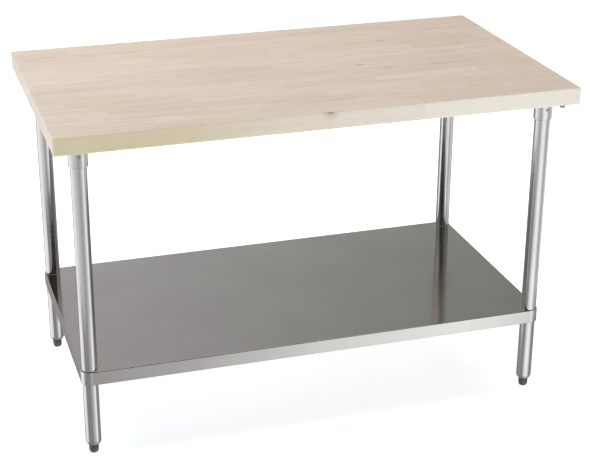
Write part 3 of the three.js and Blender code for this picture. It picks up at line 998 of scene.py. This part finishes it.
for corner in CORNERS:
    low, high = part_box("leg_" + corner)
    profile = sleeve_profile(leg_radius - leg_wall, leg_radius, 0, high.z - low.z, tube_rim)
    surface = skin(turned(profile, 128), closed=True)
    place = place_at(corner, low.z)
    add_piece("tube_" + corner, surface, polished_tube, "frame", ["leg_" + corner], place)
print("tube length", round((high.z - low.z) / MM, 1), "mm")

# %% [markdown]
# A socket is a short sleeve that is welded to the rail under the top, and slips over the leg.
# It is turned like the leg, with a wider rolled rim that catches a line of light.

# %% Sockets under the top
collar_radius = leg_radius + 3.5 * MM
sleeve_bore = leg_radius + 0.25 * MM
rolled_rim = 1.3 * MM
for corner in CORNERS:
    low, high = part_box("leg_socket_" + corner)
    profile = sleeve_profile(sleeve_bore, collar_radius, 0, high.z - low.z, rolled_rim)
    surface = skin(turned(profile, 112), closed=True)
    node = "leg_socket_" + corner
    place = place_at(corner, low.z)
    add_piece("sleeve_" + corner, surface, polished_tube, "frame", [node], place)
print("socket height", round((high.z - low.z) / MM, 1), "mm")

# %% [markdown]
# The weld round a socket is a row of overlapping puddles. A small ring with a round section does
# it, if its thickness swells and sinks as it goes round. A bump map would not break the outline.

# %% Weld bead shape
def bead_ring(centre_radius, thickness, z, puddles, start=0.0, sweep=FULL_TURN, section_sides=10):
    whole = abs(sweep - FULL_TURN) < 1e-6
    count = puddles * 6
    rings = []
    for i in range(count if whole else count + 1):
        angle = start + sweep * i / count
        swell = thickness * (0.80 + 0.20 * abs(math.cos(math.pi * puddles * i / count)))
        ring = []
        for side in range(section_sides):
            around = FULL_TURN * side / section_sides
            r = centre_radius + swell * math.cos(around)
            ring.append((r * math.cos(angle), r * math.sin(angle), z + swell * math.sin(around)))
        rings.append(ring)
    return skin(rings, closed=whole)


print("made helper: bead_ring")

# %% [markdown]
# The bead round a socket is whole. A collar is welded only where it meets the shelf, so its bead
# is an arc that faces the middle of the table, and it rides on the shelf like the collar.

# %% Weld beads
socket_bead = 1.6 * MM
socket_puddles = 46
collar_bead = 1.2 * MM
collar_bead_drop = 2.1 * MM
collar_puddles = 20
quarter = math.pi / 2
for corner in CORNERS:
    top_of_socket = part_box("leg_socket_" + corner)[1].z
    surface = bead_ring(collar_radius + 0.5 * MM, socket_bead, -socket_bead * 0.75, socket_puddles)
    place = place_at(corner, top_of_socket)
    add_piece("socket_weld_" + corner, surface, weld_metal, "frame", [], place)
    side_x, side_y = CORNERS[corner]
    start = math.atan2(-side_y, -side_x) - quarter * 0.85
    surface = bead_ring(collar_radius, collar_bead, -collar_bead_drop, collar_puddles, start, quarter * 1.7)
    place = place_at(corner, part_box("shelf_collar_" + corner)[1].z)
    add_piece("collar_weld_" + corner, surface, weld_metal, "shelf", [], place)
print("weld beads:", 2 * len(CORNERS))

# %% [markdown]
# A collar is the same kind of sleeve, in the corner of the shelf. It rides on the shelf and not on
# the leg, so that it slides up and down the leg with the shelf.

# %% Shelf collars
for corner in CORNERS:
    low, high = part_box("shelf_collar_" + corner)
    profile = sleeve_profile(sleeve_bore, collar_radius, 0, high.z - low.z, rolled_rim)
    surface = skin(turned(profile, 112), closed=True)
    node = "shelf_collar_" + corner
    place = place_at(corner, low.z)
    add_piece("collar_" + corner, surface, polished_tube, "shelf", [node], place)
print("collar height", round((high.z - low.z) / MM, 1), "mm")

# %% [markdown]
# ## Set screws
# A set screw is a headless screw with a hexagonal recess. It is turned as one profile whose rows
# change from round to hexagonal, and then laid on its side so that it points away from the leg.

# %% Set screws
screw_radius = 4 * MM
key_flats = 4 * MM
key_depth = 2.5 * MM


def set_screw_surface(length):
    rows = [
        (screw_radius - 0.8 * MM, 0),
        (screw_radius, 0.8 * MM),
        (screw_radius, length - 0.9 * MM),
        (screw_radius - 0.35 * MM, length - 0.25 * MM),
        (screw_radius - 0.8 * MM, length),
        (lambda angle: hexagon(key_flats)(angle) * 1.10, length),
        (hexagon(key_flats), length - 0.3 * MM),
        (hexagon(key_flats), length - key_depth),
    ]
    rings = turned(rows, 48)
    return skin([[(x, -z, y) for x, y, z in ring] for ring in rings])


def add_set_screw(node, body, heading):
    low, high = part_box(node)
    height = (low.z + high.z) / 2
    corner = node.split("screw_")[1]
    inner = leg_radius + 0.2 * MM
    outer = collar_radius + 1.5 * MM
    surface = set_screw_surface(outer - inner)
    reach_x = math.sin(heading) * inner
    reach_y = -math.cos(heading) * inner
    axis = leg_axis[corner]
    spot = (axis.x + reach_x, axis.y + reach_y, height)
    add_piece(node + "_keyed", surface, dark_zinc, body, [node], spot, heading)


for corner, (side_x, side_y) in CORNERS.items():
    add_set_screw("socket_screw_" + corner, "frame", 0.0 if side_y < 0 else math.pi)
    add_set_screw("collar_screw_" + corner, "shelf", math.atan2(-side_x, side_y))
print("set screws:", 2 * len(CORNERS))

# %% [markdown]
# ## Cross rails and lag bolts
# A rail is a shallow channel, folded from two-millimetre sheet with its open side against the
# wood. A box with a bevel would be solid and have sharp inner corners. A folded outline pushed
# along its length has the bend radii that a press brake leaves.

# %% Cross rails
rail_sheet = 2 * MM
rail_bend = 3.2 * MM
for side in ("left", "right"):
    node = "cross_rail_" + side
    low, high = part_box(node)
    centre_x = (low.x + high.x) / 2
    half = (high.x - low.x) / 2 - rail_sheet / 2
    web = low.z + rail_sheet / 2
    outline = folded([(-half, high.z), (-half, web), (half, web), (half, high.z)], rail_bend, rail_sheet)
    rings = pushed(outline, (low.y, high.y), lambda a, b, station: (centre_x + a, station, b))
    add_piece(node + "_pressed", skin(rings), satin_sheet, "frame", [node])
print("rail width", round((high.x - low.x) / MM, 1), "mm")

# %% [markdown]
# Lag bolts hold the rails to the wood. A bolt has a flange under a hexagonal head whose corners
# are turned off by a chamfer. The head is turned too: each row takes the smaller of the hexagon
# and a round, and where the two meet the chamfer's curved line appears by itself.

# %% Lag bolts
head_flats = 12.7 * MM
flange_radius = 8.5 * MM
shank_radius = 4 * MM


def head_row(cone_radius):
    flats = hexagon(head_flats)
    return lambda angle: min(flats(angle), cone_radius)


def lag_bolt_surface(head_z, flange_z, web_z, tip_z):
    rows = [
        (head_row(5.9 * MM), head_z),
        (head_row(6.6 * MM), head_z + 0.35 * MM),
        (head_row(7.4 * MM), head_z + 0.95 * MM),
        (head_row(7.4 * MM), flange_z - 0.1 * MM),
        (7.6 * MM, flange_z),
        (flange_radius - 0.3 * MM, flange_z + 0.5 * MM),
        (flange_radius, flange_z + 0.9 * MM),
        (flange_radius, web_z - 0.2 * MM),
        (flange_radius - 0.2 * MM, web_z),
        (shank_radius, web_z),
        (shank_radius, tip_z - 4 * MM),
        (1 * MM, tip_z),
    ]
    return skin(turned(rows, 72))


BOLTS = sorted(name for name in frame["nodes"] if name.startswith("lag_bolt_"))
for node in BOLTS:
    low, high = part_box(node)
    spot = middle_of(node)
    flange_z = 5.5 * MM
    surface = lag_bolt_surface(0, flange_z, flange_z + 2 * MM, high.z - low.z)
    place = (spot.x, spot.y, low.z)
    turn = math.radians(11)
    add_piece(node + "_turned", surface, dark_zinc, "frame", [node], place, turn)
print("bolts:", len(BOLTS))

# %% [markdown]
# ## The undershelf
# One sheet makes the shelf. Its four edges fold down into a skirt and turn in again as a hem, and
# each corner is notched round a collar. We draw only the outer face, as a sheet metal worker
# would, and give it thickness afterwards. The rows of the fold run round an arc, and where a row
# passes a collar it ends on the circle of the notch.

# %% Undershelf folds
shelf_low, shelf_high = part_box("undershelf")
shelf_half = (shelf_high.x, shelf_high.y)
skirt = shelf_high.z - shelf_low.z
shelf_sheet = 1.5 * MM
skirt_bend = 3.0 * MM
hem_bend = 2.4 * MM
hem_width = 12 * MM
notch_radius = collar_radius + 0.02 * MM
edge_to_axis = shelf_half[0] - leg_x


def fold_section():
    """Rows of the fold as (distance in from the skirt's face, height below the shelf)."""
    line = [(skirt_bend * 2, 0), (0, 0), (0, -skirt), (hem_width, -skirt)]
    rows = rounded(line, [0, skirt_bend, hem_bend, 0], 7, closed=False)
    return rows[1:]


def notch_reach(inward):
    across = edge_to_axis - inward
    return math.sqrt(max(notch_radius ** 2 - across ** 2, 0))


def side_point(side, along_side, inward, z):
    half_x, half_y = shelf_half
    spots = [
        (along_side, inward - half_y),
        (half_x - inward, along_side),
        (-along_side, half_y - inward),
        (inward - half_x, -along_side),
    ]
    return (*spots[side], z)


print("rows in the fold:", len(fold_section()))

# %% [markdown]
# The four folds are joined by one flat face, whose outline follows the rims and the notches. One
# large face shades without a seam, where a grid would show its rows in such a clear reflection.

# %% Undershelf sheet
def undershelf_surface():
    surface = bmesh.new()
    rim_ends = []
    for side in range(4):
        leg_along = leg_x if side % 2 == 0 else leg_y
        rows = []
        for inward, z in fold_section():
            end = leg_along - notch_reach(inward)
            rows.append([surface.verts.new(side_point(side, s, inward, z)) for s in (-end, end)])
        for upper, lower in zip(rows, rows[1:]):
            surface.faces.new((upper[0], lower[0], lower[1], upper[1]))
        rim_ends.append(rows[0])
    outline = []
    notch_steps = 28
    axes = [(leg_x, -leg_y), (leg_x, leg_y), (-leg_x, leg_y), (-leg_x, -leg_y)]
    for side in range(4):
        start, end = rim_ends[side]
        outline += [start, end]
        axis_x, axis_y = axes[side]
        following = rim_ends[(side + 1) % 4][0]
        first = math.atan2(end.co.y - axis_y, end.co.x - axis_x)
        last = math.atan2(following.co.y - axis_y, following.co.x - axis_x)
        sweep = (first - last) % FULL_TURN
        for step in range(1, notch_steps):
            angle = first - sweep * step / notch_steps
            x = axis_x + notch_radius * math.cos(angle)
            y = axis_y + notch_radius * math.sin(angle)
            outline.append(surface.verts.new((x, y, 0)))
    surface.faces.new(outline)
    bmesh.ops.recalc_face_normals(surface, faces=surface.faces[:])
    top = max(surface.faces, key=lambda face: face.calc_area())
    if top.normal.z < 0:
        bmesh.ops.reverse_faces(surface, faces=surface.faces[:])
    return surface


shelf_sheet_piece = add_piece(
    "undershelf_folded", undershelf_surface(), satin_sheet, "shelf", ["undershelf"],
    (0, 0, shelf_high.z), sheet=shelf_sheet)
print("undershelf faces:", len(shelf_sheet_piece.data.polygons))

# %% [markdown]
# Under the shelf runs a hat-shaped channel that stops the sheet drumming. It is folded like the
# rails, from a line with four bends.

# %% Shelf stiffener
low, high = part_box("shelf_stiffener")
hat_width = 60 * MM
hat_bend = 2.5 * MM
hat_half = hat_width / 2 - shelf_sheet / 2
brim = high.y
hat_top = high.z - shelf_sheet / 2
hat_bottom = low.z + shelf_sheet / 2
hat_line = [(-brim, hat_top), (-hat_half, hat_top), (-hat_half, hat_bottom),
            (hat_half, hat_bottom), (hat_half, hat_top), (brim, hat_top)]
outline = folded(hat_line, hat_bend, shelf_sheet)
rings = pushed(outline, (low.x, high.x), lambda a, b, station: (station, a, b))
add_piece("stiffener_folded", skin(rings), satin_sheet, "shelf", ["shelf_stiffener"])
print("stiffener length", round((high.x - low.x) / MM, 1), "mm")

# %% [markdown]
# Spot welds hold the channel, and show as a row of small flat dimples along each brim. They are
# one piece, because nobody would ever take one of them off.

# %% Spot welds
spot_radius = 3.2 * MM
spot_rise = 0.25 * MM
spot_count = 10
spots = bmesh.new()
brim_under = high.z - shelf_sheet
spot_from_middle = 37.5 * MM
spot_profile = [
    (spot_radius, 0.1 * MM),
    (spot_radius - 0.3 * MM, -spot_rise),
    (spot_radius * 0.5, -spot_rise * 0.5),
]
for side_y in (-1, 1):
    for i in range(spot_count):
        x = low.x + (high.x - low.x) * (i + 0.5) / spot_count
        y = side_y * spot_from_middle
        rings = [[(x + a, y + b, brim_under + c) for a, b, c in ring] for ring in turned(spot_profile, 24)]
        skin(rings, into=spots)
add_piece("spot_welds", spots, weld_metal, "shelf")
print("spot welds:", 2 * spot_count)

# %% [markdown]
# ## Leg ends and feet
# The shoulder is a casting pressed into the tube. It narrows in a full curve from the tube to the
# foot, and carries the faint ridge where the two halves of its mould met. A ridge that follows
# the angle of a turned ring costs no more points than a plain one.

# %% Cast shoulders
def with_mould_line(radius, ridge=0.12 * MM):
    """A round ring with a fine ridge at two opposite sides."""
    return lambda angle: radius + ridge * math.exp(-((math.sin(angle) / 0.05) ** 2))


lower_radius = 14.5 * MM
bore = 5.1 * MM
plug = leg_radius - leg_wall - 0.2 * MM
for corner in CORNERS:
    node = "foot_insert_" + corner
    low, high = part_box(node)
    shoulder_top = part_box("leg_" + corner)[0].z - low.z - 0.1 * MM
    rows = [(bore, 0.3 * MM), (bore + 0.3 * MM, 0)]
    for step in range(5):
        angle = math.pi / 2 * step / 4
        rows.append((lower_radius - 1 * MM + math.sin(angle) * MM, (1 - math.cos(angle)) * MM))
    for step in range(1, 11):
        share = step / 10
        fuller = math.sin(share * math.pi / 2) ** 0.85
        radius = lower_radius + (leg_radius - lower_radius) * fuller
        rows.append((with_mould_line(radius), 1 * MM + (shoulder_top - 2 * MM) * share))
    rows += [(leg_radius, shoulder_top - 0.3 * MM), (leg_radius - 0.3 * MM, shoulder_top)]
    rows += [(plug, shoulder_top), (plug, high.z - low.z), (bore, high.z - low.z)]
    surface = skin(turned(rows, 112), closed=True)
    place = place_at(corner, low.z)
    add_piece("shoulder_" + corner, surface, tumbled_casting, "frame", [node], place)
print("shoulder height", round(shoulder_top / MM, 1), "mm")

# %% [markdown]
# The foot is a round-nosed cup, moulded with a fine groove below its rim. Its nose is a quarter
# of an ellipse, which meets the flat sole and the straight wall without a corner.

# %% Bullet feet
foot_low, foot_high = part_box("foot_front_left")
foot_radius = (foot_high.x - foot_low.x) / 2
foot_top = foot_high.z
pad_radius = 7 * MM
nose = 10.1 * MM
rim_radius = 1.5 * MM
groove = foot_top - 5.2 * MM
stem_hole = 5.0 * MM
stem_hole_depth = 11.5 * MM
for corner in CORNERS:
    rows = [(pad_radius - 0.6 * MM, 0)]
    for step in range(13):
        angle = math.pi / 2 * step / 12
        radius = pad_radius + (foot_radius - pad_radius) * math.sin(angle)
        rows.append((with_mould_line(radius - 0.08 * MM, 0.08 * MM), nose * (1 - math.cos(angle))))
    rows += [(foot_radius, groove - 0.5 * MM), (foot_radius - 0.45 * MM, groove)]
    rows += [(foot_radius, groove + 0.5 * MM)]
    for step in range(6):
        angle = math.pi / 2 * step / 5
        radius = foot_radius - rim_radius * (1 - math.cos(angle))
        rows.append((radius, foot_top - rim_radius * (1 - math.sin(angle))))
    rows += [(stem_hole + 0.2 * MM, foot_top), (stem_hole, foot_top - 0.4 * MM)]
    rows += [(stem_hole, foot_top - stem_hole_depth)]
    surface = skin(turned(rows, 96))
    node = "foot_" + corner
    add_piece(node + "_moulded", surface, foot_nylon, node, [node], place_at(corner), crisp=40)
print("foot height", round(foot_top / MM, 1), "mm")

# %% [markdown]
# The stem shows when a foot is screwed out, so its thread is a true helix. A stack of rings would
# give grooves that never climb. Here the radius of each ring follows its angle, and the crest
# moves round by an eighth of a turn from one ring to the next.

# %% Threaded stems
thread_pitch = 1.5875 * MM
thread_depth = 0.75 * MM
rings_per_turn = 8


def thread_row(major, z):
    def radius(angle):
        phase = (z / thread_pitch - angle / FULL_TURN) % 1.0
        return major - thread_depth * abs(2 * phase - 1)
    return radius


for corner in CORNERS:
    node = "foot_stem_" + corner
    low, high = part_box(node)
    length = high.z - low.z
    major = size_of(node).x / 2
    count = round(length / thread_pitch * rings_per_turn)
    rows = []
    for i in range(count + 1):
        z = length * i / count
        from_tip = (length - z) / MM
        rows.append((thread_row(major - max(1 - from_tip, 0) * MM, z), z))
    surface = skin(turned(rows, 32))
    place = place_at(corner, low.z)
    body = "foot_" + corner
    add_piece(node + "_threaded", surface, dark_zinc, body, [node], place, crisp=60)
print("thread rings:", count)
